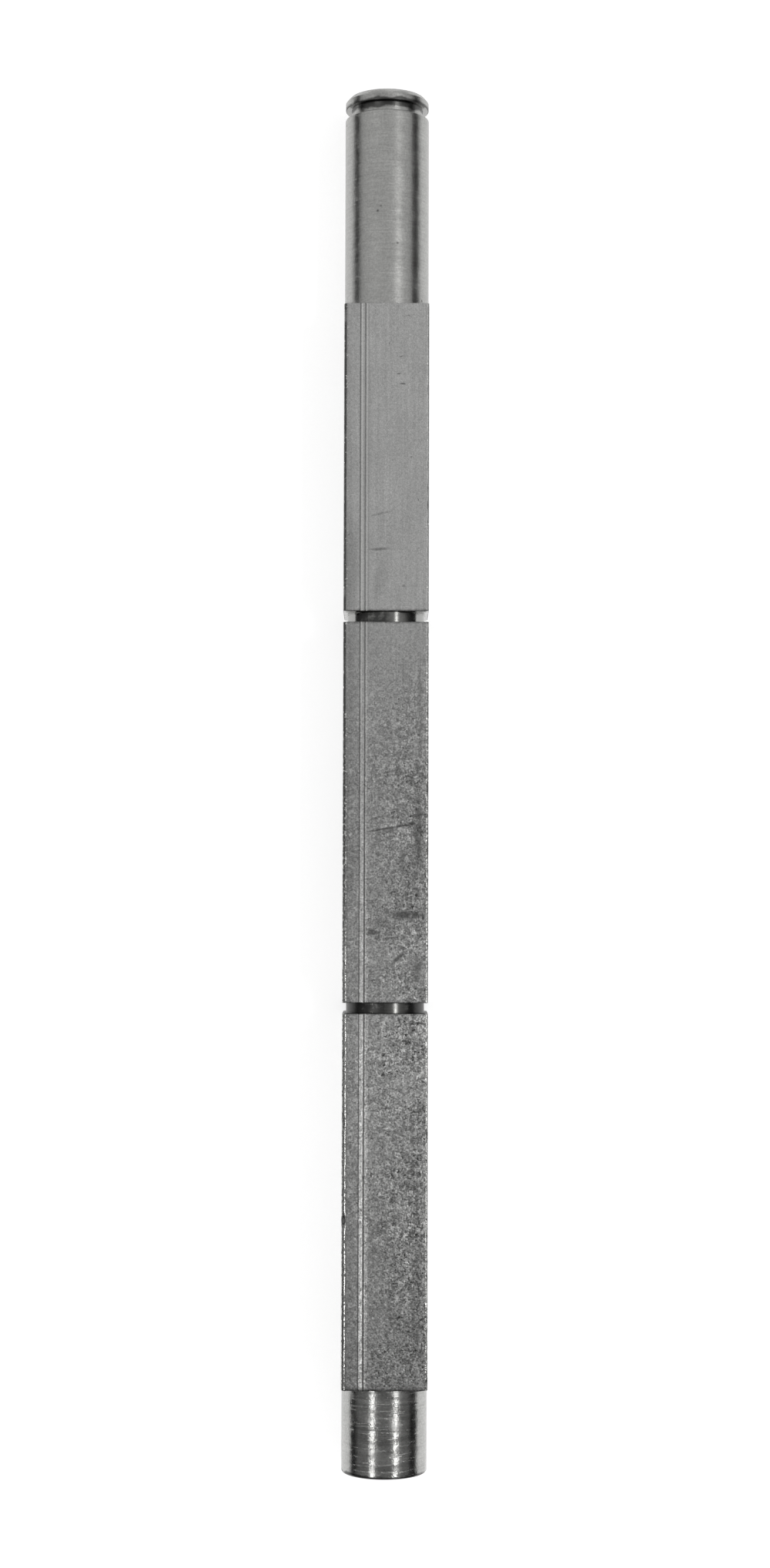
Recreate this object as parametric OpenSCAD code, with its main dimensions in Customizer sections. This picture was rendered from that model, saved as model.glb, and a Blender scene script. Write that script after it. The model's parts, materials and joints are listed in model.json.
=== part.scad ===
// One-piece shaft turned from cold-drawn square bar. A long round journal ends in a
// retaining-ring groove and a thin lip, the middle stays square and carries two more
// ring grooves, and a short plain journal is turned on the other end.
// The shaft lies on one flat with its axis along Y and the grooved end towards +Y.

/* [Square bar] */
// Width of the bar across its flats
bar_w = 6.35; // [6.35:0.05:12]
// Radius of the bar's four long edges
edge_r = 0.22; // [0.1:0.02:0.8]
// Length left square between the two shoulders
square_len = 80.4; // [70:0.1:160]

/* [Journals] */
// Diameter of both round journals
journal_d = 6.34; // [5.9:0.02:6.34]
// Length of the long journal from its shoulder to the end groove
long_journal_len = 14.7; // [6:0.1:40]
// Length of the short journal
short_journal_len = 6.42; // [2:0.02:30]
// Edge break on the free end of the short journal
short_end_break = 0.18; // [0.05:0.01:0.6]

/* [Ring grooves in the square] */
// Width of each groove
ring_groove_w = 0.8; // [0.4:0.02:2]
// Diameter of the groove floor
ring_groove_d = 5.84; // [4.5:0.02:6.1]
// Distance of the first groove's middle from the long journal's shoulder
first_groove_at = 23.5; // [5:0.1:34]
// Distance of the second groove's middle from the long journal's shoulder
second_groove_at = 52.5; // [38:0.1:66]

/* [Grooved end] */
// Width of the end groove
end_groove_w = 0.74; // [0.4:0.02:2]
// Diameter of the end groove's floor
end_groove_d = 5.33; // [4:0.01:5.6]
// Edge break where the long journal meets the end groove
groove_edge_break = 0.12; // [0.02:0.01:0.14]
// Thickness of the lip beyond the end groove
lip_w = 0.9; // [0.6:0.02:3]
// Diameter of the lip
lip_d = 6.3; // [5.8:0.02:6.34]
// Depth of the slope around the lip's outer face
lip_break = 0.33; // [0.05:0.01:0.4]
// Length of that slope along the axis
lip_break_len = 0.38; // [0.05:0.01:0.5]

/* [Die lines] */
// Number of lines that the drawing die left along the upper flat
die_line_count = 2; // [1:1:4]
// Distance from the flat's centre line to the outermost line's far edge
die_line_at = 1.98; // [1.4:0.02:2.6]
// Width of each line
die_line_w = 0.34; // [0.1:0.02:0.36]
// Plain land between neighbouring lines
die_line_land = 0.08; // [0.02:0.01:0.2]
// Depth of each line
die_line_depth = 0.07; // [0.02:0.01:0.12]

/* [Hidden] */
$fn = 96;

journal_r = journal_d / 2;
lip_r = lip_d / 2;

// Any radius past the bar's corners leaves the square as it was drawn
past_corners_r = bar_w;

// Stations along the axis, counted from the lip's outer face
end_groove_from = lip_w;
end_groove_to = end_groove_from + end_groove_w;
long_shoulder = end_groove_to + long_journal_len;
short_shoulder = long_shoulder + square_len;
total_len = short_shoulder + short_journal_len;
groove_stations = [long_shoulder + first_groove_at, long_shoulder + second_groove_at];

// Each die line falls steeply on its outer side and rises slowly on its inner side
die_line_steep_w = die_line_w / 4;
die_line_pitch = die_line_w + die_line_land;

shaft_colour = [0.58, 0.58, 0.57];

// Section of one die line, with its outer edge at the origin and the flat along X
module die_line_section() {
    polygon([
        [0, die_line_depth],
        [0, 0],
        [die_line_steep_w, -die_line_depth],
        [die_line_w, 0],
        [die_line_w, die_line_depth],
    ]);
}

// Section of the drawn bar: a square with rounded corners and the die lines on top
module bar_section() {
    inner_w = bar_w - 2 * edge_r;
    difference() {
        union() {
            square([inner_w, bar_w], center = true);
            square([bar_w, inner_w], center = true);
            for (x = [-1, 1], y = [-1, 1])
                translate([x, y] * inner_w / 2)
                    circle(r = edge_r);
        }
        for (i = [0 : die_line_count - 1])
            translate([i * die_line_pitch - die_line_at, bar_w / 2])
                die_line_section();
    }
}

// Everything the lathe leaves: lip, end groove, journals and the room for the square
module turned_envelope() {
    rotate_extrude()
        polygon([
            [0, 0],
            [lip_r - lip_break, 0],
            [lip_r, lip_break_len],
            [lip_r, end_groove_from],
            [end_groove_d / 2, end_groove_from],
            [end_groove_d / 2, end_groove_to],
            [journal_r - groove_edge_break, end_groove_to],
            [journal_r, end_groove_to + groove_edge_break],
            [journal_r, long_shoulder],
            [past_corners_r, long_shoulder],
            [past_corners_r, short_shoulder],
            [journal_r, short_shoulder],
            [journal_r, total_len - short_end_break],
            [journal_r - short_end_break, total_len],
            [0, total_len],
        ]);
}

// Ring of metal that a grooving tool takes out around the bar
module ring_groove_cut() {
    translate([0, 0, -ring_groove_w / 2])
        difference() {
            cylinder(r = past_corners_r, h = ring_groove_w);
            translate([0, 0, -ring_groove_w / 2])
                cylinder(d = ring_groove_d, h = 2 * ring_groove_w);
        }
}

module shaft() {
    color(shaft_colour)
        translate([0, total_len / 2, 0])
            rotate([90, 0, 0])
                difference() {
                    intersection() {
                        linear_extrude(total_len)
                            bar_section();
                        turned_envelope();
                    }
                    for (station = groove_stations)
                        translate([0, 0, station])
                            ring_groove_cut();
                }
}

shaft();
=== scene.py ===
"""Dresses a one-piece steel shaft: square drawn bar, a turned journal on each end and three ring grooves.

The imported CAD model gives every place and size. One closed skin replaces its plain solid and adds what use
and making leave on such a shaft: tool marks, rubbed and nicked edges, burrs, stains and handling marks.
"""

import json
import math

import bpy
import numpy as np
from bpy.props import FloatProperty, FloatVectorProperty, IntProperty, PointerProperty
from mathutils import Matrix, Vector


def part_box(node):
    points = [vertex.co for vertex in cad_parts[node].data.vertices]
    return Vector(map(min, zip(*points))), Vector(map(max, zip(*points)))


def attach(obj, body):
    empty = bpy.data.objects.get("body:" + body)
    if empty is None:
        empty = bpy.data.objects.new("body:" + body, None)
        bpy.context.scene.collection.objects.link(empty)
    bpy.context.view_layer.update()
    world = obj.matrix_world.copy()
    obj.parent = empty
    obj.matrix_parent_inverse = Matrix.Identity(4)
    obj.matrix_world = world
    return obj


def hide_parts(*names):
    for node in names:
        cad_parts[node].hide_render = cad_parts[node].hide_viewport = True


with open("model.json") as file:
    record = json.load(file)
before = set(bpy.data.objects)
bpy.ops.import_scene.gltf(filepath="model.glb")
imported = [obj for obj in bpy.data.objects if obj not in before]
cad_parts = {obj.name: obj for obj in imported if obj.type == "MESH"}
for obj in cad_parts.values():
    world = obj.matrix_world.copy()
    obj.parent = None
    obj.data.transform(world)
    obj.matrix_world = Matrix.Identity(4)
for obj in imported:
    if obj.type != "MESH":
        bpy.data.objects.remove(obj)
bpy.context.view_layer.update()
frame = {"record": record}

bl_info = {
    "name": "Square shaft with turned journals",
    "version": (1, 0, 0),
    "blender": (4, 5, 0),
    "location": "3D View > Sidebar > Shaft",
    "description": "Makes a square steel shaft with turned journals and lays it on a pale floor",
    "category": "Add Mesh",
}

MM = 0.001
SEED = 7442

# Height of the picture and focal length of its lens, both in pixels, and where the lens points, in metres
PICTURE_HEIGHT = 2036
FOCAL_LENGTH = 3300
AIM = Vector((-0.045, -0.56, 0)) * MM

# Places and sizes that the CAD model fixes
LOW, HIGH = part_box("shaft")
MOUNTS = {mount["name"]: mount for mount in frame["record"]["mounts"]}
LONG_JOURNAL = MOUNTS["long_journal"]
SHORT_JOURNAL = MOUNTS["short_journal"]
GROOVE_YS = [MOUNTS[name]["pos_m"][1] for name in ("first_ring_groove", "second_ring_groove")]

# Finishes in the order of the skin's material slots
DRAWN, WORN_TURNED, BRIGHT_TURNED, GROOVED = range(4)

# Side of the square that carries the die lines, counting from the +X flat towards +Z
UPPER_SIDE = 1


def linear_colour(hex_code):
    """Turns an sRGB hex colour into the linear colour that shaders take."""
    channels = [int(hex_code[i : i + 2], 16) / 255 for i in (1, 3, 5)]
    linear = [c / 12.92 if c <= 0.04045 else ((c + 0.055) / 1.055) ** 2.4 for c in channels]
    return (*linear, 1.0)


def length(name, description, default):
    """A property for a length in metres."""
    return FloatProperty(
        name=name, description=description, default=default, precision=5, unit="LENGTH", subtype="DISTANCE"
    )


def colour(name, description, hex_code):
    """A property for a colour written as sRGB hex."""
    return FloatVectorProperty(
        name=name, description=description, default=linear_colour(hex_code),
        size=4, min=0, max=1, subtype="COLOR",
    )


class ShaftSizes(bpy.types.PropertyGroup):
    """Sizes of the shaft, from the CAD model where it names them"""

    bar_width: length("Bar width", "Width of the square across its flats", HIGH.x - LOW.x)
    edge_radius: length("Edge radius", "Radius of the two lower long edges", 0.22 * MM)
    left_edge_radius: length("Left edge radius", "Radius of the upper left edge, worn rounder", 0.32 * MM)
    right_edge_radius: length("Right edge radius", "Radius of the upper right edge, kept keener", 0.15 * MM)
    tip_y: length("Tip", "Outer face of the lip", HIGH.y)
    foot_y: length("Foot", "End face of the short journal", LOW.y)
    journal_radius: length("Journal radius", "Radius of both journals", LONG_JOURNAL["dims"]["r_mm"] * MM)
    long_shoulder_y: length(
        "Long journal's shoulder",
        "Where the square starts behind the long journal",
        LONG_JOURNAL["pos_m"][1] - LONG_JOURNAL["dims"]["length_mm"] * MM / 2,
    )
    short_shoulder_y: length(
        "Short journal's shoulder",
        "Where the square ends before the short journal",
        SHORT_JOURNAL["pos_m"][1] + SHORT_JOURNAL["dims"]["length_mm"] * MM / 2,
    )
    foot_break: length("Foot edge break", "Rounding of the short journal's end edge", 0.18 * MM)
    end_groove_y: length("End groove", "Middle of the end groove", MOUNTS["end_ring_groove"]["pos_m"][1])
    end_groove_width: length("End groove width", "Width of the end groove", 0.74 * MM)
    end_groove_radius: length("End groove floor", "Radius of the end groove's floor", 2.665 * MM)
    rim_break: length("Rim break", "Rounding where the long journal meets the end groove", 0.12 * MM)
    lip_radius: length("Lip radius", "Radius of the lip beyond the end groove", 3.15 * MM)
    lip_break: length("Lip slope depth", "Depth of the slope round the lip's outer face", 0.33 * MM)
    lip_break_length: length("Lip slope length", "Length of that slope along the axis", 0.38 * MM)
    ring_groove_width: length("Ring groove width", "Width of the two grooves in the square", 0.8 * MM)
    ring_groove_radius: length("Ring groove floor", "Radius of those grooves' floors", 2.92 * MM)
    die_line_count: IntProperty(
        name="Die lines", description="Lines along the upper flat", default=2, min=1, max=4
    )
    die_line_offset: length("Die line offset", "Flat's middle to the outermost line's far edge", 1.98 * MM)
    die_line_width: length("Die line width", "Width of each line", 0.34 * MM)
    die_line_land: length("Die line land", "Plain metal between neighbouring lines", 0.05 * MM)
    die_line_depth: length("Die line depth", "Depth of each line", 0.07 * MM)


class ShaftFinish(bpy.types.PropertyGroup):
    """Colours of the steel"""

    drawn: colour("Drawn steel", "Dull skin of the cold-drawn flats", "#A6A6A5")
    # Bright metal for rubbed edges, also used for painted highlights on the edges and die lines and for a
    # painted reflection in the first groove's corners
    rubbed_and_sheen: colour("Rubbed steel", "Bright metal on rubbed edges", "#C4C4C2")
    worn_turned: colour("Worn turned steel", "The long journal", "#A2A2A0")
    bright_turned: colour("Bright turned steel", "The short journal", "#A9A9A7")
    grooved: colour("Grooved steel", "Groove floors, groove walls and shoulders", "#727270")
    # The grime colour also paints shade: in groove corners, under the lip, on the foot's edge, along the
    # flats' ends and in the die lines
    grime_and_shade: colour("Grime", "Oil and oxide in flecks, pits and corners", "#454544")


class ShaftStage(bpy.types.PropertyGroup):
    """Floor, light and camera around the shaft"""

    floor_colour: colour("Floor", "Matt paper under the shaft", "#F4F4F4")
    floor_glow: FloatProperty(name="Floor glow", description="White added to the floor", default=0.6, min=0)
    fill: FloatProperty(name="Fill", description="Strength of the even light", default=0.45, min=0)
    lamp_level: FloatProperty(name="Lamp level", description="Brightness of the lamps", default=8.0, min=0)
    camera_distance: length("Camera distance", "From the lens to the shaft's axis", 191.07 * MM)
    camera_tilt: FloatProperty(
        name="Camera tilt", description="Lean of the view towards the tip",
        default=math.radians(2.8), subtype="ANGLE",
    )
    camera_roll: FloatProperty(
        name="Camera roll", description="Turn of the picture", default=math.radians(0.15), subtype="ANGLE"
    )


class Skin:
    """Matched loops of points along the shaft, joined into one closed skin"""

    def __init__(self, angles):
        self.angles = angles
        self.loops = []
        self.finishes = []

    def add(self, x, y, z, finish):
        """Adds a loop and the finish of the band that leads to it."""
        self.loops.append(np.column_stack(np.broadcast_arrays(x, y, z)))
        self.finishes.append(finish)

    def turn(self, y, radius, finish):
        """Adds a round loop, as a lathe cuts it."""
        self.add(radius * np.cos(self.angles), y, radius * np.sin(self.angles), finish)

    def mesh(self, name):
        """Joins neighbouring loops with four-sided faces and closes both ends with fans."""
        count = len(self.angles)
        points = np.concatenate(self.loops)
        first = np.arange(count)
        after = np.roll(first, -1)
        faces = []
        slots = []
        for i, finish in enumerate(self.finishes[1:]):
            upper = i * count
            lower = upper + count
            quads = np.column_stack([first + upper, after + upper, after + lower, first + lower])
            faces.extend(quads.tolist())
            slots.extend([finish] * count)
        last = len(points) - count
        tip, foot = len(points), len(points) + 1
        faces.extend([[tip, b, a] for a, b in zip(first.tolist(), after.tolist())])
        faces.extend([[foot, a + last, b + last] for a, b in zip(first.tolist(), after.tolist())])
        slots.extend([self.finishes[0]] * count + [self.finishes[-1]] * count)
        ends = [[0, self.loops[0][0, 1], 0], [0, self.loops[-1][0, 1], 0]]
        mesh = bpy.data.meshes.new(name)
        mesh.from_pydata(np.concatenate([points, ends]).tolist(), [], faces)
        mesh.polygons.foreach_set("material_index", slots)
        mesh.shade_smooth()
        mesh.set_sharp_from_angle(angle=math.radians(35))
        mesh.validate()
        return mesh


class BarSection:
    """Outline of the drawn bar: four flats, rounded long edges and the die lines on the upper flat"""

    def __init__(self, size):
        half = size.bar_width / 2
        radii = (size.right_edge_radius, size.left_edge_radius, size.edge_radius, size.edge_radius)
        line_at, line_depth = self.die_lines(size)
        beside_edge = 0.03 * MM
        beside_line = 0.008 * MM
        arc = np.radians(np.linspace(0, 90, 8)[1:-1])
        columns = []
        for side, radius in enumerate(radii):
            start = radii[side - 1] - half
            reach = half - radius
            inside = np.linspace(start + beside_edge, reach - beside_edge, 20)
            along = np.concatenate([[start], inside, [reach]])
            depth = np.zeros(len(along))
            if side == UPPER_SIDE:
                stops = (along, line_at, line_at - beside_line, line_at + beside_line)
                along = np.unique(np.concatenate(stops))
                depth = np.interp(along, line_at, line_depth)
            out = np.concatenate([np.full(len(along), half), reach + radius * np.cos(arc)])
            across = np.concatenate([along, reach + radius * np.sin(arc)])
            sunk = np.concatenate([depth, np.zeros(len(arc))])
            worn = np.concatenate([np.zeros(len(along)), np.sin(2 * arc)])
            cos, sin = ((1, 0), (0, 1), (-1, 0), (0, -1))[side]
            columns.append(
                np.column_stack([
                    cos * out - sin * across,
                    sin * out + cos * across,
                    -cos * sunk,
                    -sin * sunk,
                    worn,
                    np.full(len(out), side),
                ])
            )
        x, z, sunk_x, sunk_z, self.worn, edge = np.concatenate(columns).T
        self.angles = np.arctan2(z, x)
        self.x = x + sunk_x
        self.z = z + sunk_z
        self.edge = edge.astype(int)

    @staticmethod
    def die_lines(size):
        """Places across the flat and depths there: each line is steep outside and shallow inside."""
        places = []
        depths = []
        for i in range(size.die_line_count):
            outer = size.die_line_offset - i * (size.die_line_width + size.die_line_land)
            places += [outer, outer - size.die_line_width / 4, outer - size.die_line_width]
            depths += [0, size.die_line_depth, 0]
        order = np.argsort(places)
        return np.array(places)[order], np.array(depths)[order]

    def loop(self, wear, inset=0.0, least_radius=0.0):
        """Outline with its long edges worn in by wear, and drawn in by inset as far as least_radius."""
        in_by = inset + wear[self.edge] * self.worn
        radius = np.hypot(self.x, self.z)
        share = np.maximum(radius - in_by, np.minimum(least_radius, radius)) / radius
        return self.x * share, self.z * share


class EdgeNicks:
    """Small dents along the bar's four long edges"""

    PER_EDGE = 70

    def __init__(self, rng, size):
        span = (size.short_shoulder_y, size.long_shoulder_y)
        self.edges = []
        for edge in range(4):
            at = rng.uniform(*span, self.PER_EDGE)
            half_width = rng.uniform(0.12, 0.5, self.PER_EDGE) * MM
            depth = 0.045 * MM * rng.random(self.PER_EDGE) ** 3
            self.edges.append((at, half_width, depth))
        self.rng = rng

    def dent(self, edge, y, half_width, depth):
        """Adds one dent that stands out."""
        at, widths, depths = self.edges[edge]
        self.edges[edge] = (np.append(at, y), np.append(widths, half_width), np.append(depths, depth))

    def wear(self, y):
        """How far each long edge is worn in at this station."""
        dents = [(depth * np.exp(-(((y - at) / width) ** 2))).max() for at, width, depth in self.edges]
        return np.array(dents) + 0.012 * MM * self.rng.random(4)


def edge_arc(radius, face_y, size, facing, count=5):
    """Pairs of y and radius round a turned edge, from the face that looks along facing to the side."""
    turns = np.linspace(0, math.pi / 2, count)
    return [(face_y - facing * size * (1 - math.cos(t)), radius - size * (1 - math.sin(t))) for t in turns]


def wave(rng, angles, height):
    """A smooth uneven wave round a loop, as a burr leaves on an edge."""
    total = np.zeros(len(angles))
    for k in range(9, 46, 3):
        total += rng.normal() * np.sin(k * angles + rng.uniform(0, 2 * math.pi))
    return height * total / np.abs(total).max()


def turned_run(skin, rng, from_y, to_y, radius, spacing, mark_depth, finish):
    """A turned length with the fine uneven rings that the tool leaves, all below the full radius."""
    count = round(abs(to_y - from_y) / spacing)
    for y in np.linspace(from_y, to_y, count + 1):
        skin.turn(y, radius - mark_depth * rng.random(), finish)


def square_run(skin, section, nicks, from_y, to_y, spacing):
    """A length of the drawn bar."""
    count = round(abs(to_y - from_y) / spacing)
    for y in np.linspace(from_y, to_y, count + 1):
        x, z = section.loop(nicks.wear(y))
        skin.add(x, y, z, DRAWN)


def bar_end(skin, section, nicks, y, facing, edge, floor_radius, burr):
    """Loops from the bar's flats to the face of a cut across it, with the edge rounded and burred."""
    wear = nicks.wear(y)
    loops = []
    for turn in (0, 35, 65, 90):
        t = math.radians(turn)
        x, z = section.loop(wear, edge * (1 - math.cos(t)), floor_radius)
        loops.append((x, y - facing * edge * (1 - math.sin(t)) + burr, z, DRAWN))
    if facing > 0:
        loops.reverse()
        loops[0] = (*loops[0][:3], GROOVED)
    for loop in loops:
        skin.add(*loop)


def shaft_mesh(size):
    """The whole shaft from the tip to the foot."""
    rng = np.random.default_rng(SEED)
    section = BarSection(size)
    nicks = EdgeNicks(rng, size)
    nicks.dent(0, -44.7 * MM, 0.45 * MM, 0.16 * MM)
    nicks.dent(1, -32.8 * MM, 0.35 * MM, 0.11 * MM)
    skin = Skin(section.angles)

    # Tip: end face, lip, end groove and the journal's rim
    groove_top = size.end_groove_y + size.end_groove_width / 2
    groove_bottom = size.end_groove_y - size.end_groove_width / 2
    for share in (0.1, 0.3, 0.55, 0.8):
        skin.turn(size.tip_y, share * (size.lip_radius - size.lip_break), WORN_TURNED)
    for down in (0, 0.08, 0.3, 0.55, 0.8, 1):
        rise = 0.06 * math.sin(math.pi * down) + down
        y = size.tip_y - size.lip_break_length * down
        skin.turn(y, size.lip_radius - size.lip_break * (1 - rise), WORN_TURNED)
    for y, radius in reversed(edge_arc(size.lip_radius, groove_top, 0.06 * MM, -1, 4)):
        skin.turn(y, radius, WORN_TURNED)
    skin.turn(groove_top, size.end_groove_radius + 0.05 * MM, GROOVED)
    skin.turn(groove_top - 0.08 * MM, size.end_groove_radius, WORN_TURNED)
    skin.turn(groove_bottom + 0.05 * MM, size.end_groove_radius, WORN_TURNED)
    skin.turn(groove_bottom, size.end_groove_radius + 0.05 * MM, GROOVED)
    for i, (y, radius) in enumerate(edge_arc(size.journal_radius, groove_bottom, size.rim_break, 1)):
        skin.turn(y, radius, WORN_TURNED if i else GROOVED)

    # Long journal
    turned_run(
        skin, rng, groove_bottom - size.rim_break - 0.08 * MM, size.long_shoulder_y, size.journal_radius,
        0.1 * MM, 0.002 * MM, WORN_TURNED,
    )

    # Square length with its two ring grooves
    soft = 0.07 * MM
    keen = 0.04 * MM
    start = size.long_shoulder_y
    bar_end(skin, section, nicks, start, 1, soft, size.journal_radius, 0)
    start -= soft
    for groove_y in GROOVE_YS:
        top = groove_y + size.ring_groove_width / 2
        bottom = groove_y - size.ring_groove_width / 2
        square_run(skin, section, nicks, start - 0.05 * MM, top + keen + 0.05 * MM, 0.2 * MM)
        bar_end(skin, section, nicks, top, -1, keen, 0, wave(rng, section.angles, 0.018 * MM))
        skin.turn(top, size.ring_groove_radius + 0.04 * MM, GROOVED)
        turned_run(
            skin, rng, top - 0.04 * MM, bottom + 0.04 * MM, size.ring_groove_radius,
            0.09 * MM, 0.002 * MM, GROOVED,
        )
        skin.turn(bottom, size.ring_groove_radius + 0.04 * MM, GROOVED)
        bar_end(skin, section, nicks, bottom, 1, keen, 0, wave(rng, section.angles, 0.018 * MM))
        start = bottom - keen
    end = size.short_shoulder_y
    blunt = 0.12 * MM
    square_run(skin, section, nicks, start - 0.05 * MM, end + blunt + 0.05 * MM, 0.2 * MM)
    bar_end(skin, section, nicks, end, -1, blunt, size.journal_radius, wave(rng, section.angles, 0.05 * MM))
    skin.turn(end, size.journal_radius, GROOVED)

    # Short journal and its end face
    foot_edge = edge_arc(size.journal_radius, size.foot_y, size.foot_break, -1, 7)
    turned_run(
        skin, rng, end - 0.03 * MM, size.foot_y + size.foot_break + 0.03 * MM, size.journal_radius,
        0.09 * MM, 0.002 * MM, BRIGHT_TURNED,
    )
    for y, radius in reversed(foot_edge):
        skin.turn(y, radius, BRIGHT_TURNED)
    for share in (0.8, 0.55, 0.3, 0.1):
        skin.turn(size.foot_y, share * (size.journal_radius - size.foot_break), BRIGHT_TURNED)
    return skin.mesh("shaft_skin")


def add_node(tree, kind, inputs=None, output=0, **settings):
    """Adds a shader node with its settings, fills or links its inputs, and returns one of its outputs."""
    node = tree.nodes.new("ShaderNode" + kind)
    for key, value in settings.items():
        setattr(node, key, value)
    for key, value in (inputs or {}).items():
        if isinstance(value, bpy.types.NodeSocket):
            tree.links.new(value, node.inputs[key])
        else:
            node.inputs[key].default_value = value
    return node.outputs[output]


def steel(name, roughness):
    """A bare steel: the material, its node tree, its shader and the surface's place in millimetres."""
    material = bpy.data.materials.new(name)
    material.use_nodes = True
    tree = material.node_tree
    shader = tree.nodes["Principled BSDF"]
    shader.inputs["Metallic"].default_value = 1.0
    shader.inputs["Roughness"].default_value = roughness
    place = add_node(tree, "TexCoord", output="Object")
    place = add_node(tree, "VectorMath", {0: place, "Scale": 1 / MM}, operation="SCALE")
    return material, tree, shader, place


# Stains and scratches on the upper flat, in millimetres: middle x and y, half length, half width, turn in
# degrees and strength. Flecks and pits come from the material's own patterns.
FLAT_MARKS = (
    (1.63, -10.4, 1.45, 0.46, 2, 0.78),
    (0.4, -3.95, 2.4, 0.1, 10, 0.8),
    (1.84, -3.68, 0.7, 0.16, 14, 0.9),
    (-0.95, -11.65, 0.5, 0.26, 0, 0.8),
    (-0.6, -12.05, 0.3, 0.2, 20, 0.7),
    (0.25, -12.1, 0.5, 0.12, 8, 0.7),
    (0.45, -11.75, 0.4, 0.1, 75, 0.6),
    (-0.35, -10.95, 0.7, 0.5, 10, 0.5),
    (0.9, -13.6, 0.9, 0.18, 42, 0.7),
    (2.37, -5.9, 0.75, 0.2, 90, 0.8),
    (1.25, -6.4, 1.1, 0.3, 80, 0.5),
    (0.27, 0.2, 1.6, 0.1, 15, 0.55),
    (-0.6, -3.2, 0.8, 0.09, 16, 0.5),
    (0.15, 3.4, 1.0, 0.09, -18, 0.42),
    (2.4, -4.2, 4.4, 0.36, 90, 0.68),
    (2.2, -8.0, 2.6, 0.34, 88, 0.5),
    (2.5, 4.5, 4.2, 0.3, 90, 0.4),
    (1.3, 6.8, 2.2, 0.2, 90, 0.26),
    (2.3, -14.4, 1.6, 0.4, 80, 0.55),
    (2.36, -30.9, 4.6, 0.12, 90, 0.5),
    (2.3, -38.5, 6.0, 0.55, 90, 0.5),
    (1.2, -41.5, 1.8, 0.8, 90, 0.26),
    (0.9, 29.9, 0.2, 0.06, 4, 0.6),
    (1.2, 29.15, 0.22, 0.07, -3, 0.7),
    (1.6, 34.3, 0.16, 0.05, 5, 0.5),
    (0.2, 32.2, 0.14, 0.05, 70, 0.5),
    (1.1, 31.2, 0.18, 0.05, 20, 0.5),
    (-0.55, 16.75, 0.8, 0.11, 3, 0.5),
    (-0.45, 19.4, 0.9, 0.1, 14, 0.32),
    (-2.7, 15.0, 4.0, 0.6, 90, 0.22),
    (-2.7, 7.0, 4.5, 0.6, 90, 0.2),
    (-0.4, 14.6, 1.8, 0.5, 80, 0.16),
    (1.3, 14.0, 0.16, 0.12, 0, 0.5),
)

# Bright and dark strips along the two die lines, partly burnished and dirty metal and partly painted
# highlight on the walls that face the left lamp and painted shade on the walls that face away, in
# millimetres across the upper flat, each with its strength towards the long journal and towards the short
# one
LIT_AND_BURNISHED_STRIPS = ((-1.88, -1.75, 1.0, 0.36), (-1.76, -1.59, 0.2, 0.55), (-1.5, -1.39, 0.8, 0.32))
SHADED_AND_DIRTY_STRIPS = (
    (-2.0, -1.9, 0.6, 0.4),
    (-1.66, -1.56, 0.6, 0.0),
    (-1.6, -1.5, 0.1, 0.55),
    (-1.36, -1.27, 0.2, 0.0),
)


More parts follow.
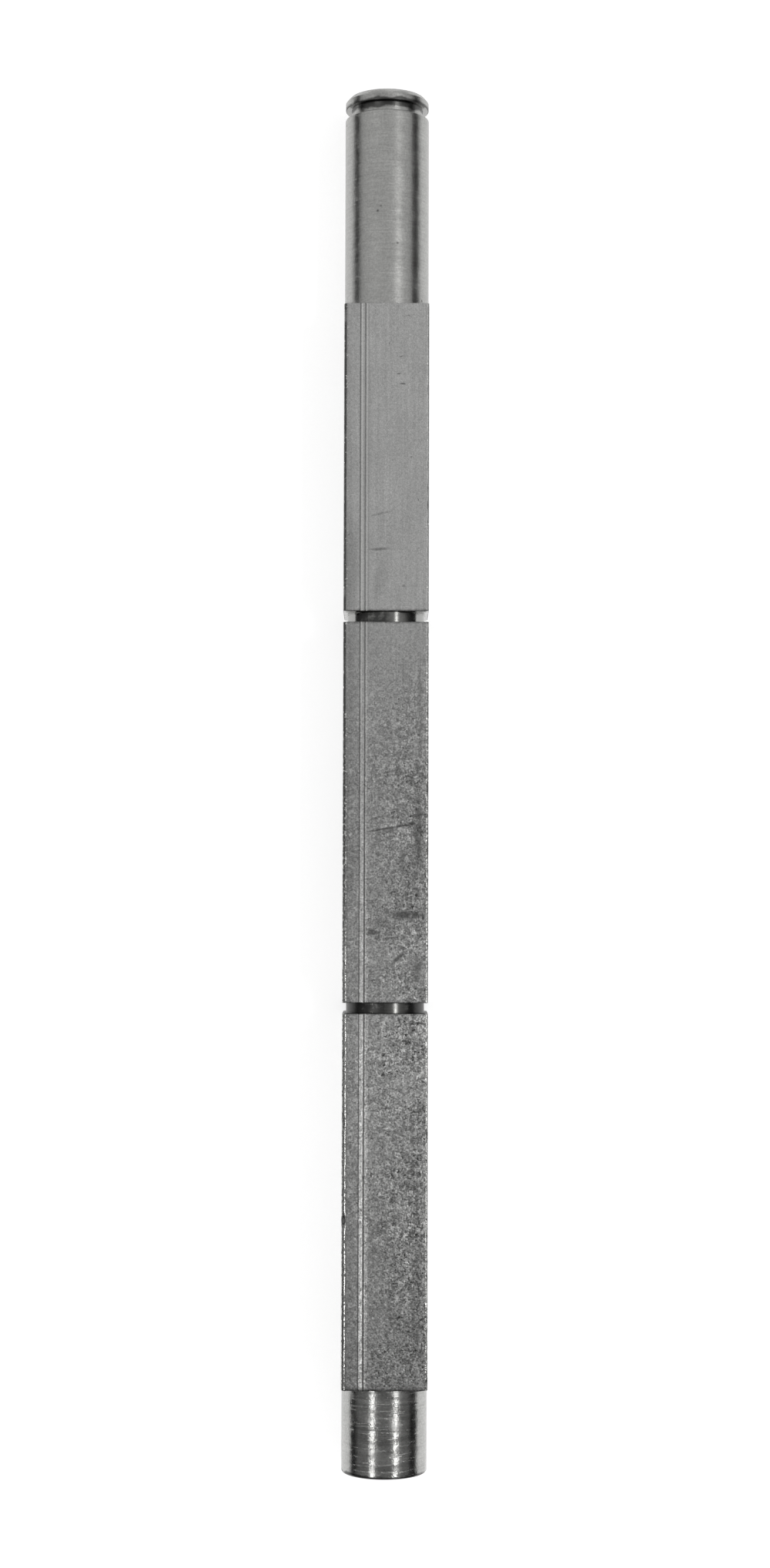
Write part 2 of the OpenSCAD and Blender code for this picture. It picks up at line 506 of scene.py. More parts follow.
def drawn_steel(finish):
    """Cold-drawn mild steel, handled and stained."""
    # A dull grey skin with fine grain and faint lengthwise marks from the die. Beyond the first ring groove
    # it is mottled and crinkled with old oil and oxide, most on the right, and its long edges are bright,
    # partly rubbed and partly painted highlight.
    material, tree, shader, place = steel("cold_drawn_mild_steel_worn", 0.42)
    # Dot products split the place here, and a gradient draws each single mark further down. They take no
    # conversion between points and vectors, with which a shader of this size rendered black
    axes = {}
    for key, direction in (("X", (1, 0, 0)), ("Y", (0, 1, 0)), ("Z", (0, 0, 1))):
        axes[key] = add_node(
            tree, "VectorMath", {0: place, 1: direction}, operation="DOT_PRODUCT", output="Value"
        )

    # Patterns by size in millimetres, detail and distortion. Real speckle is finer, drawn coarser to show
    noises = {}
    for key, size, detail, distortion in (
        ("speckle", 0.05, 1.0, 0.0),
        ("grain", 0.12, 2.0, 0.0),
        ("fleck", 0.24, 1.0, 0.6),
        ("mottle", 0.36, 3.0, 0.4),
        ("wrinkle", 0.5, 1.0, 0.5),
        ("crinkle", 0.9, 1.5, 0.6),
        ("blot", 1.3, 3.0, 0.6),
        ("cloud", 3.2, 3.0, 0.0),
    ):
        noises[key] = add_node(
            tree, "TexNoise",
            {
                "Vector": place,
                "Scale": 1 / size,
                "Detail": detail,
                "Roughness": 0.55,
                "Distortion": distortion,
            },
        )

    # Draw marks 0.2 mm apart and 8 mm long
    drawn_out = add_node(tree, "VectorMath", {0: place, 1: (1 / 0.2, 1 / 8, 1 / 0.2)}, operation="MULTIPLY")
    noises["draw_mark"] = add_node(tree, "TexNoise", {"Vector": drawn_out, "Scale": 1.0, "Detail": 2.0})

    # How stained the skin is: clean near the long journal, heavier beyond each groove, more on the right
    stained = add_node(
        tree, "MapRange", {"Value": axes["Y"], "From Min": 12.0, "From Max": 0.0, "To Max": 0.78}
    )
    past_second = add_node(tree, "Math", {0: axes["Y"], 1: GROOVE_YS[1] / MM}, operation="LESS_THAN")
    stained = add_node(tree, "Math", {0: past_second, 1: 0.16, 2: stained}, operation="MULTIPLY_ADD")
    to_right = add_node(
        tree, "MapRange",
        {"Value": axes["X"], "From Min": -2.4, "From Max": 2.0, "To Min": 0.55, "To Max": 1.0},
    )
    patchy = add_node(
        tree, "MapRange",
        {"Value": noises["cloud"], "From Min": 0.36, "From Max": 0.56, "To Min": 0.65, "To Max": 1.0},
    )
    for part in (to_right, patchy):
        stained = add_node(tree, "Math", {0: stained, 1: part}, operation="MULTIPLY")

    # Tone of the bare skin, then the mottling where it is stained
    tone = None
    for key, low, high in (
        ("speckle", 0.8, 1.2),
        ("grain", 0.87, 1.13),
        ("draw_mark", 0.93, 1.07),
        ("cloud", 0.95, 1.05),
    ):
        part = add_node(
            tree, "MapRange",
            {"Value": noises[key], "From Min": 0.3, "From Max": 0.7, "To Min": low, "To Max": high},
        )
        tone = part if tone is None else add_node(tree, "Math", {0: tone, 1: part}, operation="MULTIPLY")
    mottled = tone
    for key, low, high in (("mottle", 1.26, 0.8), ("grain", 0.46, 1.66)):
        part = add_node(
            tree, "MapRange",
            {"Value": noises[key], "From Min": 0.35, "From Max": 0.65, "To Min": low, "To Max": high},
        )
        mottled = add_node(tree, "Math", {0: mottled, 1: part}, operation="MULTIPLY")
    tone = add_node(tree, "Mix", {0: stained, 2: tone, 3: mottled}, data_type="FLOAT")

    # Duller skin beyond the first ring groove, fading out before the second, and lighter skin beyond that
    past_first = add_node(tree, "Math", {0: axes["Y"], 1: GROOVE_YS[0] / MM}, operation="LESS_THAN")
    for past, from_y, to_y, change in ((past_first, -14.0, -8.0, -0.11), (past_second, -42.0, -30.0, 0.14)):
        change = add_node(
            tree, "MapRange", {"Value": axes["Y"], "From Min": from_y, "From Max": to_y, "To Max": change}
        )
        level = add_node(tree, "Math", {0: change, 1: past, 2: 1.0}, operation="MULTIPLY_ADD")
        tone = add_node(tree, "Math", {0: tone, 1: level}, operation="MULTIPLY")

    # Dark wrinkles along the middle contours of two noises, in patches and broken by the mottling
    patches = add_node(
        tree, "MapRange",
        {"Value": noises["blot"], "From Min": 0.4, "From Max": 0.56, "To Min": 0.6, "To Max": 1.0},
    )
    gaps = add_node(tree, "MapRange", {"Value": noises["mottle"], "From Min": 0.42, "From Max": 0.52})
    wrinkles = None
    for key in ("crinkle", "wrinkle"):
        contour = add_node(tree, "Math", {0: noises[key], 1: 0.5}, operation="SUBTRACT")
        contour = add_node(tree, "Math", {0: contour}, operation="ABSOLUTE")
        line = add_node(
            tree, "MapRange", {"Value": contour, "From Min": 0.12, "From Max": 0.0, "To Max": 0.82}
        )
        wrinkles = line if wrinkles is None else add_node(
            tree, "Math", {0: line, 1: wrinkles}, operation="MAXIMUM"
        )
    wrinkles = add_node(tree, "Math", {0: wrinkles, 1: gaps}, operation="MULTIPLY")
    # Dark flecks between them
    flecks = add_node(
        tree, "MapRange", {"Value": noises["fleck"], "From Min": 0.48, "From Max": 0.26, "To Max": 1.4}
    )
    wrinkles = add_node(tree, "Math", {0: wrinkles, 1: flecks}, operation="MAXIMUM")
    # Dark streaks 0.2 mm wide and 1 mm long, strongest near the right edge
    streak_place = add_node(
        tree, "VectorMath", {0: place, 1: (1 / 0.2, 1 / 1.0, 1 / 0.2)}, operation="MULTIPLY"
    )
    streaks = add_node(tree, "TexNoise", {"Vector": streak_place, "Scale": 1.0, "Detail": 2.0})
    at_right = add_node(
        tree, "MapRange", {"Value": axes["X"], "From Min": 1.2, "From Max": 2.2, "To Min": 0.6}
    )
    streaks = add_node(
        tree, "MapRange", {"Value": streaks, "From Min": 0.52, "From Max": 0.66, "To Max": at_right}
    )
    wrinkles = add_node(tree, "Math", {0: wrinkles, 1: streaks}, operation="MAXIMUM")
    for part in (patches, stained):
        wrinkles = add_node(tree, "Math", {0: wrinkles, 1: part}, operation="MULTIPLY")
    # Soft blots under them
    blots = add_node(
        tree, "MapRange", {"Value": noises["blot"], "From Min": 0.5, "From Max": 0.68, "To Max": stained}
    )
    blots = add_node(tree, "Math", {0: blots, 1: 0.5}, operation="MULTIPLY")
    grime_and_shade = add_node(tree, "Math", {0: wrinkles, 1: blots}, operation="MAXIMUM")

    # Pits of 0.1 mm, about one in every 2 mm, with ragged edges
    cells = add_node(tree, "TexVoronoi", {"Vector": place, "Scale": 1 / 1.6})
    ragged = add_node(tree, "Math", {0: noises["grain"], 1: 0.12, 2: cells}, operation="MULTIPLY_ADD")
    pits = add_node(tree, "MapRange", {"Value": ragged, "From Min": 0.12, "From Max": 0.09, "To Max": 0.5})
    grime_and_shade = add_node(tree, "Math", {0: grime_and_shade, 1: pits}, operation="MAXIMUM")

    # Darker where the flats end, in a ragged fringe at both ring grooves and a wider one at the short
    # journal: partly dirt and partly painted shade along the edges beside the grooves and the shoulder
    end_y = SHORT_JOURNAL["pos_m"][1] / MM + SHORT_JOURNAL["dims"]["length_mm"] / 2
    fringes = [(y / MM, 0.62, 0.4, 0.7) for y in GROOVE_YS]
    for middle, reach, full, amount in (*fringes, (end_y, 0.5, 0.05, 0.75)):
        away = add_node(tree, "Math", {0: axes["Y"], 1: middle}, operation="SUBTRACT")
        away = add_node(tree, "Math", {0: away}, operation="ABSOLUTE")
        away = add_node(tree, "Math", {0: noises["mottle"], 1: 0.3, 2: away}, operation="MULTIPLY_ADD")
        fringe = add_node(
            tree, "MapRange",
            {"Value": away, "From Min": reach + 0.13, "From Max": full + 0.13, "To Max": amount},
        )
        grime_and_shade = add_node(tree, "Math", {0: grime_and_shade, 1: fringe}, operation="MAXIMUM")

    # Single stains and scratches, ragged at their edges
    ragged = add_node(
        tree, "MapRange",
        {"Value": noises["mottle"], "From Min": 0.3, "From Max": 0.55, "To Min": 0.65, "To Max": 1.0},
    )
    for x, y, half_length, half_width, turn, strength in FLAT_MARKS:
        local = add_node(
            tree, "Mapping",
            {
                "Vector": place,
                "Location": (x, y, HIGH.z / MM),
                "Rotation": (0, 0, math.radians(turn)),
                "Scale": (half_length * 1.2, half_width * 1.2, 0.72),
            },
            vector_type="TEXTURE",
        )
        near = add_node(tree, "TexGradient", {"Vector": local}, gradient_type="SPHERICAL", output="Fac")
        mark = add_node(tree, "MapRange", {"Value": near, "From Max": 0.58, "To Max": strength})
        mark = add_node(tree, "Math", {0: mark, 1: ragged}, operation="MULTIPLY")
        grime_and_shade = add_node(tree, "Math", {0: grime_and_shade, 1: mark}, operation="MAXIMUM")

    # Long edges, told by how far the sum of both distances from the axis falls short of the square's corner.
    # They are bright in beads of 0.2 mm, few towards the long journal: a line beside the round left edge,
    # and the whole of the keen right edge. This is partly rubbed metal and partly painted highlight, lying
    # where the lamps glint off the rounds and fading out where they don't reach.
    across = add_node(tree, "Math", {0: axes["X"]}, operation="ABSOLUTE")
    up = add_node(tree, "Math", {0: axes["Z"]}, operation="ABSOLUTE")
    corner = add_node(tree, "Math", {0: across, 1: up}, operation="ADD")
    short_by = add_node(tree, "Math", {0: (HIGH.x + HIGH.z) / MM, 1: corner}, operation="SUBTRACT")
    bead_noise = add_node(tree, "TexNoise", {"Vector": place, "Scale": 1 / 0.18, "Detail": 1.0})
    rubbed_and_sheen = None
    for side, middle, half, gap, from_y, to_y in (
        ("LESS_THAN", 0.25, 0.07, 0.44, 8.0, -19.0),
        ("GREATER_THAN", 0.12, 0.07, 0.44, 20.0, -19.0),
    ):
        here = add_node(tree, "Math", {0: axes["X"], 1: 0.0}, operation=side)
        off = add_node(tree, "Math", {0: short_by, 1: middle}, operation="SUBTRACT")
        off = add_node(tree, "Math", {0: off}, operation="ABSOLUTE")
        line = add_node(tree, "MapRange", {"Value": off, "From Min": half + 0.02, "From Max": half - 0.02})
        least = add_node(
            tree, "MapRange",
            {"Value": axes["Y"], "From Min": from_y, "From Max": to_y, "To Min": 0.68, "To Max": gap},
        )
        excess = add_node(tree, "Math", {0: bead_noise, 1: least}, operation="SUBTRACT")
        beads = add_node(tree, "MapRange", {"Value": excess, "From Min": -0.03, "From Max": 0.03})
        for part in (line, beads):
            here = add_node(tree, "Math", {0: here, 1: part}, operation="MULTIPLY")
        rubbed_and_sheen = here if rubbed_and_sheen is None else add_node(tree, "Math", {0: rubbed_and_sheen, 1: here}, operation="ADD")
    # Darker along the left edge: faint dirt inside its rubbed line where the skin is stained, and on the
    # round itself, thickest towards the long journal, partly dirt and partly painted shade where the round
    # mirrors the dark surroundings
    left = add_node(tree, "Math", {0: axes["X"], 1: 0.0}, operation="LESS_THAN")
    on_round = add_node(
        tree, "MapRange",
        {"Value": axes["Y"], "From Min": -18.0, "From Max": -4.0, "To Min": 0.25, "To Max": 0.8},
    )
    for outer, inner, amount in ((0.46, 0.36, stained), (0.26, 0.21, on_round)):
        beside = add_node(
            tree, "MapRange", {"Value": short_by, "From Min": outer, "From Max": inner, "To Max": amount}
        )
        beside = add_node(tree, "Math", {0: beside, 1: left}, operation="MULTIPLY")
        grime_and_shade = add_node(tree, "Math", {0: grime_and_shade, 1: beside}, operation="MAXIMUM")

    # Die lines, partly burnished where the die bore hardest and dirty where it didn't and partly painted
    # highlight and painted shade on their walls, and a strip beside them with painted shade
    on_top = add_node(
        tree, "MapRange", {"Value": axes["Z"], "From Min": HIGH.z / MM - 0.2, "From Max": HIGH.z / MM - 0.1}
    )
    to_foot = add_node(tree, "MapRange", {"Value": axes["Y"], "From Min": 16.0, "From Max": -12.0})
    worn_line = add_node(
        tree, "MapRange", {"Value": noises["grain"], "From Min": 0.35, "From Max": 0.6, "To Min": 0.5}
    )
    along_lines = []
    for strips in (LIT_AND_BURNISHED_STRIPS, SHADED_AND_DIRTY_STRIPS):
        total = None
        for from_x, to_x, at_tip, at_foot in strips:
            off = add_node(tree, "Math", {0: axes["X"], 1: -(from_x + to_x) / 2}, operation="ADD")
            off = add_node(tree, "Math", {0: off}, operation="ABSOLUTE")
            strength = add_node(tree, "MapRange", {"Value": to_foot, "To Min": at_tip, "To Max": at_foot})
            half = (to_x - from_x) / 2
            band = add_node(
                tree, "MapRange",
                {"Value": off, "From Min": half, "From Max": half - 0.03, "To Max": strength},
            )
            total = band if total is None else add_node(
                tree, "Math", {0: total, 1: band}, operation="MAXIMUM"
            )
        for part in (on_top, worn_line):
            total = add_node(tree, "Math", {0: total, 1: part}, operation="MULTIPLY")
        along_lines.append(total)
    burnished_and_lit, dirt_and_shade_in_lines = along_lines
    grime_and_shade = add_node(tree, "Math", {0: grime_and_shade, 1: dirt_and_shade_in_lines}, operation="MAXIMUM")
    # Painted shade: the strip left of the die lines darkens towards the left edge and is a little lighter
    # beside the lines, as if tilted away from the light
    painted_tilt_shade = add_node(
        tree, "MapRange",
        {"Value": axes["X"], "From Min": -2.1, "From Max": -2.7, "To Min": 1.04, "To Max": 0.93},
    )
    tone = add_node(tree, "Math", {0: tone, 1: painted_tilt_shade}, operation="MULTIPLY")
    rubbed_and_sheen = add_node(tree, "Math", {0: rubbed_and_sheen, 1: burnished_and_lit}, operation="MAXIMUM")

    skin = add_node(tree, "VectorMath", {0: finish.drawn[:3], "Scale": tone}, operation="SCALE")
    dirty = add_node(tree, "Mix", {0: grime_and_shade, 6: skin, 7: finish.grime_and_shade}, data_type="RGBA", output=2)
    shown = add_node(tree, "Mix", {0: rubbed_and_sheen, 6: dirty, 7: finish.rubbed_and_sheen}, data_type="RGBA", output=2)
    tree.links.new(shown, shader.inputs["Base Color"])

    rough = add_node(tree, "MapRange", {"Value": grime_and_shade, "To Min": 0.42, "To Max": 0.55})
    rough = add_node(tree, "Mix", {0: rubbed_and_sheen, 2: rough, 3: 0.2}, data_type="FLOAT")
    tree.links.new(rough, shader.inputs["Roughness"])

    # Relief of some 7 micrometres: grain and mottling stand up, grime sits lower and wrinkles lower still
    relief = noises["grain"]
    for part in (noises["draw_mark"], noises["mottle"]):
        relief = add_node(tree, "Math", {0: relief, 1: part}, operation="ADD")
    relief = add_node(tree, "Math", {0: relief, 1: grime_and_shade}, operation="SUBTRACT")
    relief = add_node(tree, "Math", {0: wrinkles, 1: -1.5, 2: relief}, operation="MULTIPLY_ADD")
    bump = add_node(tree, "Bump", {"Height": relief, "Strength": 0.6, "Distance": 0.012 * MM})
    tree.links.new(bump, shader.inputs["Normal"])
    return material


def turned_steel(name, base, roughness, relief, grime_and_shade_colour, grime_and_shade_y, smudged):
    """Turned steel with rings from the tool, dirt and painted shade round one place along the axis in
    millimetres, and smudges beyond.
    """
    # A smooth grey that streaks light along the axis. Fine rings and a speckle of tiny dents break the
    # streaks up, and dirt with painted shade sits along one edge.
    material, tree, shader, place = steel(name, roughness)
    shader.inputs["Anisotropic"].default_value = 0.5
    shader.inputs["Anisotropic Rotation"].default_value = 0.25
    axes = add_node(tree, "SeparateXYZ", {0: place}).node.outputs
    tangent = add_node(tree, "Tangent", direction_type="RADIAL", axis="Y")
    tree.links.new(tangent, shader.inputs["Tangent"])

    # Rings 0.13 mm apart that change slowly round the axis. Real ones are finer, and drawn coarser to show
    round_axis = add_node(
        tree, "VectorMath", {0: place, 1: (1 / 1.6, 1 / 0.13, 1 / 1.6)}, operation="MULTIPLY"
    )
    rings = add_node(
        tree, "TexNoise", {"Vector": round_axis, "Scale": 1.0, "Detail": 3.0, "Roughness": 0.65}
    )
    # Speckle of 0.13 mm and clouds of 1.4 mm
    speckle = add_node(tree, "TexNoise", {"Vector": place, "Scale": 1 / 0.13, "Detail": 2.0})
    clouds = add_node(tree, "TexNoise", {"Vector": place, "Scale": 1 / 1.4, "Detail": 4.0})

    # Pits of 0.12 mm, about one in every 2 mm
    cells = add_node(tree, "TexVoronoi", {"Vector": place, "Scale": 1 / 1.7})
    dirt_and_shade = add_node(tree, "MapRange", {"Value": cells, "From Min": 0.08, "From Max": 0.03, "To Max": 0.75})
    # Dirt and painted shade round that place: in the end groove where the lip shades it, and on the foot's
    # rounded edge where it mirrors the dark surroundings
    away = add_node(tree, "Math", {0: axes["Y"], 1: grime_and_shade_y}, operation="SUBTRACT")
    near = add_node(tree, "Math", {0: away}, operation="ABSOLUTE")
    uneven = add_node(
        tree, "MapRange",
        {"Value": clouds, "From Min": 0.3, "From Max": 0.7, "To Min": 0.16, "To Max": -0.16},
    )
    near = add_node(tree, "Math", {0: near, 1: uneven}, operation="ADD")
    corner = add_node(tree, "MapRange", {"Value": near, "From Min": 0.32, "From Max": 0.16, "To Max": 0.9})
    beyond = add_node(
        tree, "MapRange", {"Value": away, "From Min": -0.1, "From Max": 0.1, "To Max": smudged}
    )
    smudge = add_node(tree, "MapRange", {"Value": clouds, "From Min": 0.5, "From Max": 0.66})
    smudge = add_node(tree, "Math", {0: smudge, 1: beyond}, operation="MULTIPLY")
    for part in (corner, smudge):
        dirt_and_shade = add_node(tree, "Math", {0: dirt_and_shade, 1: part}, operation="MAXIMUM")

    tone = None
    for noise, low, high in ((rings, 0.88, 1.12), (speckle, 0.86, 1.14), (clouds, 0.93, 1.07)):
        part = add_node(
            tree, "MapRange",
            {"Value": noise, "From Min": 0.3, "From Max": 0.7, "To Min": low, "To Max": high},
        )
        tone = part if tone is None else add_node(tree, "Math", {0: tone, 1: part}, operation="MULTIPLY")
    metal = add_node(tree, "VectorMath", {0: base[:3], "Scale": tone}, operation="SCALE")
    shown = add_node(tree, "Mix", {0: dirt_and_shade, 6: metal, 7: grime_and_shade_colour}, data_type="RGBA", output=2)
    tree.links.new(shown, shader.inputs["Base Color"])
    rough = add_node(
        tree, "MapRange",
        {
            "Value": clouds,
            "From Min": 0.3,
            "From Max": 0.7,
            "To Min": roughness - 0.04,
            "To Max": roughness + 0.06,
        },
    )
    tree.links.new(rough, shader.inputs["Roughness"])
    # Ripples 0.7 mm apart under the rings, eight times as high
    ripple_place = add_node(
        tree, "VectorMath", {0: place, 1: (1 / 2.5, 1 / 0.7, 1 / 2.5)}, operation="MULTIPLY"
    )
    ripples = add_node(tree, "TexNoise", {"Vector": ripple_place, "Scale": 1.0, "Detail": 1.0})
    height = add_node(tree, "Math", {0: rings, 1: speckle}, operation="ADD")
    scores = add_node(tree, "MapRange", {"Value": rings, "From Min": 0.6, "From Max": 0.66})
    height = add_node(tree, "Math", {0: height, 1: scores}, operation="SUBTRACT")
    height = add_node(tree, "Math", {0: ripples, 1: 8.0, 2: height}, operation="MULTIPLY_ADD")
    bump = add_node(tree, "Bump", {"Height": height, "Strength": 1.0, "Distance": relief})
    tree.links.new(bump, shader.inputs["Normal"])
    return material


def grooved_steel(finish):
    """Steel cut by a grooving tool, never rubbed, with painted shade in the deep corners of its floors and,
    on the first groove, a painted reflection there instead.
    """
    # Darker than the rest and half bright: the floors still catch a lamp between smears of old oil.
    material, tree, shader, place = steel("grooved_steel_dirty", 0.3)
    round_axis = add_node(
        tree, "VectorMath", {0: place, 1: (1 / 1.4, 1 / 0.12, 1 / 1.4)}, operation="MULTIPLY"
    )
    rings = add_node(tree, "TexNoise", {"Vector": round_axis, "Scale": 1.0, "Detail": 3.0})
    smears = add_node(tree, "TexNoise", {"Vector": place, "Scale": 1 / 0.5, "Detail": 4.0})
    dirt_and_shade = add_node(tree, "MapRange", {"Value": smears, "From Min": 0.3, "From Max": 0.5})
    # Painted highlight: a patch of each floor with less dirt, so lighter and glossier, to the right of the
    # top where the right lamp's highlight falls
    axes = add_node(tree, "SeparateXYZ", {0: place}).node.outputs
    off_highlight_patch = add_node(tree, "Math", {0: axes["X"], 1: 0.8}, operation="SUBTRACT")
    off_highlight_patch = add_node(tree, "Math", {0: off_highlight_patch}, operation="ABSOLUTE")
    painted_highlight_patch = add_node(
        tree, "MapRange",
        {"Value": off_highlight_patch, "From Min": 0.4, "From Max": 0.9, "To Min": 0.25, "To Max": 1.0},
    )
    dirt_and_shade = add_node(tree, "Math", {0: dirt_and_shade, 1: painted_highlight_patch}, operation="MULTIPLY")
    # Towards the corners the floors get painted shade; on the first groove in the square it is taken off
    # again and the colour lightened 40% of the way to the rubbed colour, as a painted reflection of the
    # floor
    across = add_node(tree, "Math", {0: axes["X"]}, operation="ABSOLUTE")
    corners = add_node(tree, "MapRange", {"Value": across, "From Min": 1.9, "From Max": 2.3})
    upper = add_node(tree, "Math", {0: axes["Y"], 1: 0.0}, operation="GREATER_THAN")
    reflection_mask = add_node(tree, "Math", {0: corners, 1: upper}, operation="MULTIPLY")
    dirt_and_shade = add_node(tree, "Math", {0: dirt_and_shade, 1: corners}, operation="MAXIMUM")
    dirt_and_shade = add_node(tree, "Math", {0: dirt_and_shade, 1: reflection_mask}, operation="SUBTRACT", use_clamp=True)
    painted_reflection = add_node(tree, "Math", {0: reflection_mask, 1: 0.4}, operation="MULTIPLY")
    metal = add_node(
        tree, "Mix", {0: painted_reflection, 6: finish.grooved, 7: finish.rubbed_and_sheen}, data_type="RGBA", output=2
    )
    shown = add_node(tree, "Mix", {0: dirt_and_shade, 6: metal, 7: finish.grime_and_shade}, data_type="RGBA", output=2)
    tree.links.new(shown, shader.inputs["Base Color"])
    rough = add_node(tree, "MapRange", {"Value": dirt_and_shade, "To Min": 0.14, "To Max": 0.36})
    tree.links.new(rough, shader.inputs["Roughness"])
    bump = add_node(tree, "Bump", {"Height": rings, "Strength": 0.6, "Distance": 0.012 * MM})
    tree.links.new(bump, shader.inputs["Normal"])
    return material


class SHAFT_OT_make_shaft(bpy.types.Operator):
    """Make the shaft's skin and finish it in steel"""

    bl_idname = "shaft.make_shaft"
    bl_label = "Make shaft"

    def execute(self, context):
        size = context.scene.shaft_sizes
        finish = context.scene.shaft_finish
        piece = bpy.data.objects.new("shaft_skin", shaft_mesh(size))
        context.scene.collection.objects.link(piece)
        behind_lip = (size.end_groove_y + size.end_groove_width / 2) / MM
        made = (
            drawn_steel(finish),
            turned_steel(
                "turned_steel_worn", finish.worn_turned, 0.32, 0.004 * MM, finish.grime_and_shade,
                grime_and_shade_y=behind_lip - 0.08, smudged=0.2,
            ),
            turned_steel(
                "turned_steel_bright", finish.bright_turned, 0.25, 0.007 * MM, finish.grime_and_shade,
                grime_and_shade_y=size.foot_y / MM, smudged=0,
            ),
            grooved_steel(finish),
        )
        for material in made:
            piece.data.materials.append(material)
        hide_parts("shaft")
        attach(piece, "root")
        return {"FINISHED"}


def pictured(tree):
    """1 for rays that carry a picture of the surroundings: to the camera, off gloss or through glass."""
    path = add_node(tree, "LightPath").node.outputs
    total = path["Is Camera Ray"]
    for name in ("Is Glossy Ray", "Is Transmission Ray"):
        total = add_node(tree, "Math", {0: total, 1: path[name]}, operation="MAXIMUM")
    return total


def stage_sheet(context, name, corners, material):
    """A flat or folded sheet on the stage, from rows of corner points."""
    rows = len(corners)
    columns = len(corners[0])
    points = [point for row in corners for point in row]
    faces = []
    for i in range(rows - 1):
        for j in range(columns - 1):
            at = i * columns + j
            faces.append((at, at + 1, at + columns + 1, at + columns))
    mesh = bpy.data.meshes.new(name)
    mesh.from_pydata(points, [], faces)
    mesh.shade_smooth()
    mesh.materials.append(material)
    sheet = bpy.data.objects.new(name, mesh)
    context.scene.collection.objects.link(sheet)
    return sheet


def only_mirrored(sheet):
    """Leaves a stage sheet to be seen in polished metal and nowhere else, so that it casts no shadow."""
    sheet.visible_camera = False
    sheet.visible_diffuse = False
    sheet.visible_transmission = False
    sheet.visible_shadow = False


def floor_paper(stage):
    """Matt white paper that shows white and keeps a soft shadow."""
    material = bpy.data.materials.new("matt_white_paper")
    material.use_nodes = True
    tree = material.node_tree
    shader = tree.nodes["Principled BSDF"]
    shader.inputs["Base Color"].default_value = stage.floor_colour
    shader.inputs["Roughness"].default_value = 1.0
    shader.inputs["Specular IOR Level"].default_value = 0.0
    shader.inputs["Emission Color"].default_value = linear_colour("#FFFFFF")
    glow = add_node(tree, "Math", {0: pictured(tree), 1: stage.floor_glow}, operation="MULTIPLY")
    tree.links.new(glow, shader.inputs["Emission Strength"])
    return material


def arch_diffuser():
    """Lit cloth over the shaft, bright over the tip and dim over the foot."""
    material = bpy.data.materials.new("lit_diffuser_cloth")
    material.use_nodes = True
    tree = material.node_tree
    tree.nodes.remove(tree.nodes["Principled BSDF"])
    place = add_node(tree, "TexCoord", output="Object")
    along = add_node(tree, "SeparateXYZ", {0: place}, output="Y")
    level = add_node(
        tree, "MapRange",
        {"Value": along, "From Min": -0.11, "From Max": 0.1, "To Min": 0.16, "To Max": 0.81},
        interpolation_type="SMOOTHSTEP",
    )
    glow = add_node(tree, "Emission", {"Strength": level})
    tree.links.new(glow, tree.nodes["Material Output"].inputs["Surface"])
    return material


def black_card():
    """Matt black card."""
    material = bpy.data.materials.new("matt_black_card")
    material.use_nodes = True
    shader = material.node_tree.nodes["Principled BSDF"]
    shader.inputs["Base Color"].default_value = linear_colour("#303030")
    shader.inputs["Roughness"].default_value = 1.0
    shader.inputs["Specular IOR Level"].default_value = 0.0
    return material


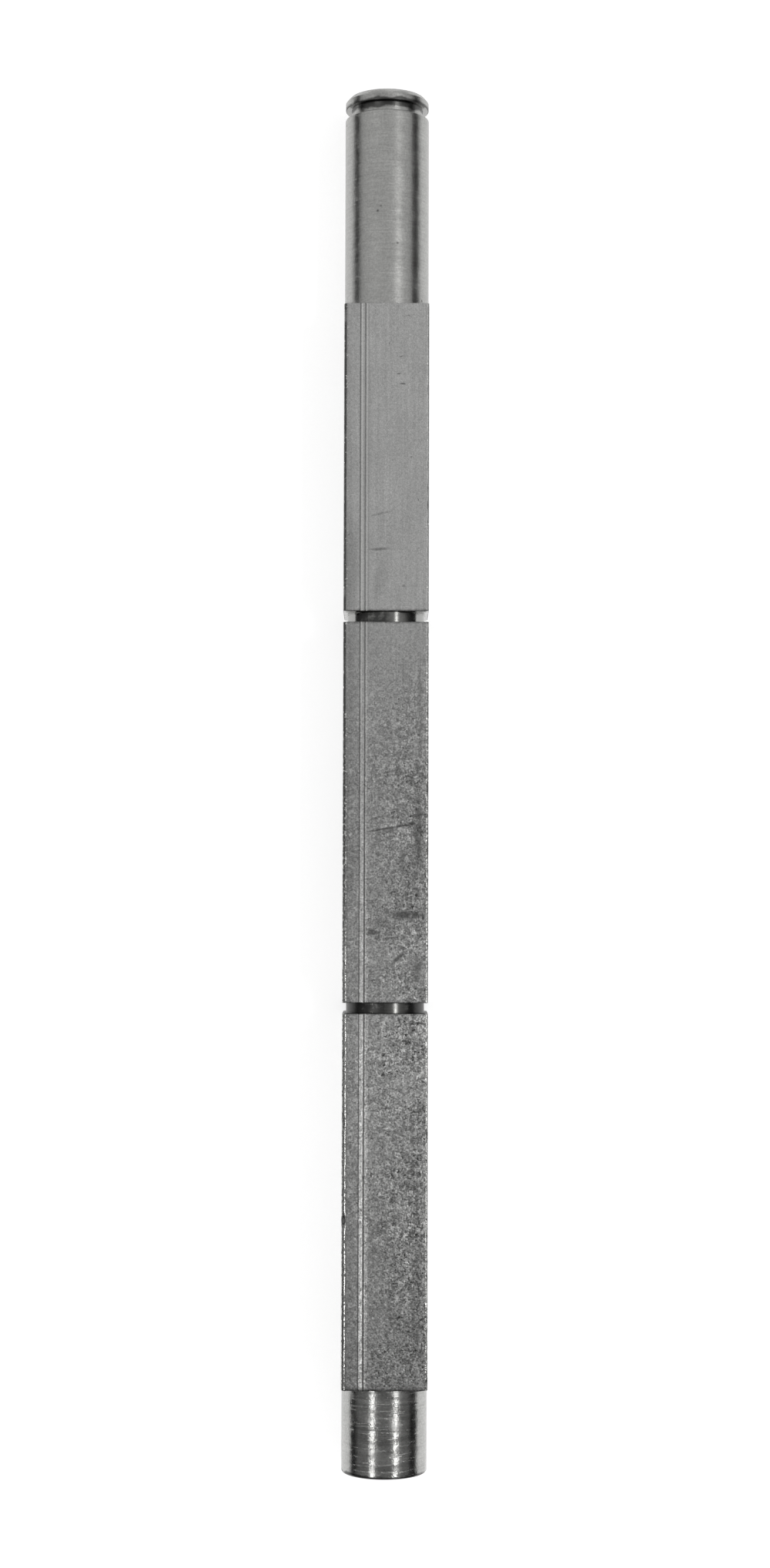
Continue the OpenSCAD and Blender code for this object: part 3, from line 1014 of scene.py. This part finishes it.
class SHAFT_OT_set_stage(bpy.types.Operator):
    """Lay a pale floor, light the shaft and look down on it"""

    bl_idname = "shaft.set_stage"
    bl_label = "Set stage"

    def execute(self, context):
        stage = context.scene.shaft_stage
        floor_z = LOW.z
        stage_sheet(
            context, "floor", [[(x, y, floor_z) for x in (-2, 2)] for y in (-2, 2)], floor_paper(stage)
        )
        self.hang_diffuser(context, floor_z)
        self.stand_cards(context, floor_z)
        self.light(context, stage)
        self.aim_camera(context, stage)
        context.scene.view_settings.view_transform = "Standard"
        return {"FINISHED"}

    def hang_diffuser(self, context, floor_z):
        """An arch of cloth for the metal to mirror."""
        radius = 0.35
        turns = np.linspace(-math.pi / 2, math.pi / 2, 33)
        hoops = [(-0.7, 0.0), *((y, radius) for y in np.linspace(-0.7, 0.7, 15)), (0.7, 0.0)]
        rows = [[(r * math.sin(t), y, floor_z + r * math.cos(t)) for y, r in hoops] for t in turns]
        only_mirrored(stage_sheet(context, "diffuser", rows, arch_diffuser()))

    def stand_cards(self, context, floor_z):
        """A black card along each side, which draws the dark line down each side of the journals."""
        material = black_card()
        for name, x, height in (("left", -0.022, 0.0094), ("right", 0.03, 0.0147)):
            rows = [[(x, y, floor_z), (x, y, floor_z + height)] for y in (-0.2, 0.2)]
            only_mirrored(stage_sheet(context, f"{name}_card", rows, material))

    def light(self, context, stage):
        """Two strip lamps and an even fill."""
        away = 0.28
        strips = (("left", -30.5, -0.075, 0.03, 0.09), ("right", 31.0, -0.025, 0.032, 0.17))
        for name, turn, y, width, depth in strips:
            data = bpy.data.lights.new(f"{name}_strip", "AREA")
            data.shape = "RECTANGLE"
            data.size = width
            data.size_y = depth
            data.energy = stage.lamp_level * math.pi * width * depth
            lamp = bpy.data.objects.new(data.name, data)
            t = math.radians(turn)
            lamp.location = (away * math.sin(t), y, away * math.cos(t))
            lamp.rotation_euler = (0, t, 0)
            context.scene.collection.objects.link(lamp)
        world = bpy.data.worlds.new("white_surround")
        world.use_nodes = True
        tree = world.node_tree
        level = add_node(tree, "MapRange", {"Value": pictured(tree), "To Min": stage.fill, "To Max": 1.0})
        back = tree.nodes["Background"]
        back.inputs["Color"].default_value = linear_colour("#FFFFFF")
        tree.links.new(level, back.inputs["Strength"])
        context.scene.world = world

    def aim_camera(self, context, stage):
        """A long lens over the shaft, the tip at the top of the picture."""
        tilt = stage.camera_tilt
        roll = stage.camera_roll
        back = Vector((0, -math.sin(tilt), math.cos(tilt)))
        along = Vector((0, math.cos(tilt), math.sin(tilt)))
        across = Vector((1, 0, 0))
        up = math.cos(roll) * along - math.sin(roll) * across
        right = math.cos(roll) * across + math.sin(roll) * along
        data = bpy.data.cameras.new("camera")
        data.sensor_fit = "VERTICAL"
        data.sensor_height = 36.0
        data.lens = data.sensor_height * FOCAL_LENGTH / PICTURE_HEIGHT
        data.clip_start = 0.005
        camera = bpy.data.objects.new("camera", data)
        turn = Matrix((right, up, back)).transposed().to_4x4()
        camera.matrix_world = Matrix.Translation(AIM + stage.camera_distance * back) @ turn
        context.scene.collection.objects.link(camera)
        context.scene.camera = camera


class SHAFT_PT_panel(bpy.types.Panel):
    """The shaft's sizes, colours and operators"""

    bl_idname = "SHAFT_PT_panel"
    bl_label = "Shaft"
    bl_space_type = "VIEW_3D"
    bl_region_type = "UI"
    bl_category = "Shaft"

    def draw(self, context):
        for group in (context.scene.shaft_sizes, context.scene.shaft_finish, context.scene.shaft_stage):
            box = self.layout.box()
            for key in group.__annotations__:
                box.prop(group, key)
        self.layout.operator(SHAFT_OT_make_shaft.bl_idname)
        self.layout.operator(SHAFT_OT_set_stage.bl_idname)


GROUPS = {"shaft_sizes": ShaftSizes, "shaft_finish": ShaftFinish, "shaft_stage": ShaftStage}
CLASSES = (*GROUPS.values(), SHAFT_OT_make_shaft, SHAFT_OT_set_stage, SHAFT_PT_panel)


def register():
    for cls in CLASSES:
        bpy.utils.register_class(cls)
    for name, group in GROUPS.items():
        setattr(bpy.types.Scene, name, PointerProperty(type=group))


def unregister():
    for name in GROUPS:
        delattr(bpy.types.Scene, name)
    for cls in reversed(CLASSES):
        bpy.utils.unregister_class(cls)


def main():
    """Makes the shaft and its stage."""
    register()
    bpy.ops.shaft.make_shaft()
    bpy.ops.shaft.set_stage()


if __name__ == "__main__":
    main()
